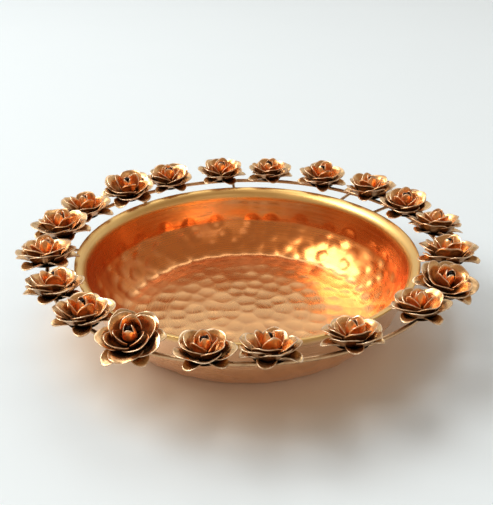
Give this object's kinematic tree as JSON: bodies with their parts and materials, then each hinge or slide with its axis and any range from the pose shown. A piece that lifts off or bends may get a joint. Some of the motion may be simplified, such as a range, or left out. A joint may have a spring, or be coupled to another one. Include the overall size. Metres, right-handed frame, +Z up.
{
  "type": "urli bowl",
  "caption": "Shallow hammered metal urli bowl with a flared lip, ringed by a wire hoop of pressed sheet roses on short stays, for floating candles or petals",
  "frame": {"origin": "middle of the bowl's flat underside, where it stands on the table", "axes": "+Z up out of the bowl's mouth; -Y faces the viewer; X to the right"},
  "size_m": [0.2752, 0.2717, 0.0605],
  "materials": {
    "hammered_bowl": "lacquered copper-gold sheet, smooth bright lip, hammered floor and lower wall",
    "hoop_wire": "drawn wire, lacquered, darker on the underside",
    "rivet_metal": "dark rivet with a dull upset end",
    "outer_petals": "satin antique copper-gold, pale cut edges, brown in the folds",
    "inner_petals": "satin copper, warmer and brighter than the outer petals"
  },
  "bodies": {
    "root": {"bowl": "hammered_bowl", "flower_hoop": "hoop_wire", "rose_rivets": "rivet_metal", "hoop_stay_01": "hoop_wire", "hoop_stay_02": "hoop_wire", "hoop_stay_03": "hoop_wire", "hoop_stay_04": "hoop_wire", "hoop_stay_05": "hoop_wire", "hoop_stay_06": "hoop_wire", "hoop_stay_07": "hoop_wire", "hoop_stay_08": "hoop_wire", "hoop_stay_09": "hoop_wire", "hoop_stay_10": "hoop_wire", "hoop_stay_11": "hoop_wire", "rose_01_outer": "outer_petals", "rose_02_outer": "outer_petals", "rose_03_outer": "outer_petals", "rose_04_outer": "outer_petals", "rose_05_outer": "outer_petals", "rose_06_outer": "outer_petals", "rose_07_outer": "outer_petals", "rose_08_outer": "outer_petals", "rose_09_outer": "outer_petals", "rose_10_outer": "outer_petals", "rose_11_outer": "outer_petals", "rose_12_outer": "outer_petals", "rose_13_outer": "outer_petals", "rose_14_outer": "outer_petals", "rose_15_outer": "outer_petals", "rose_16_outer": "outer_petals", "rose_17_outer": "outer_petals", "rose_18_outer": "outer_petals", "rose_19_outer": "outer_petals", "rose_20_outer": "outer_petals", "rose_01_inner": "inner_petals", "rose_02_inner": "inner_petals", "rose_03_inner": "inner_petals", "rose_04_inner": "inner_petals", "rose_05_inner": "inner_petals", "rose_06_inner": "inner_petals", "rose_07_inner": "inner_petals", "rose_08_inner": "inner_petals", "rose_09_inner": "inner_petals", "rose_10_inner": "inner_petals", "rose_11_inner": "inner_petals", "rose_12_inner": "inner_petals", "rose_13_inner": "inner_petals", "rose_14_inner": "inner_petals", "rose_15_inner": "inner_petals", "rose_16_inner": "inner_petals", "rose_17_inner": "inner_petals", "rose_18_inner": "inner_petals", "rose_19_inner": "inner_petals", "rose_20_inner": "inner_petals"}
  },
  "joints": []
}
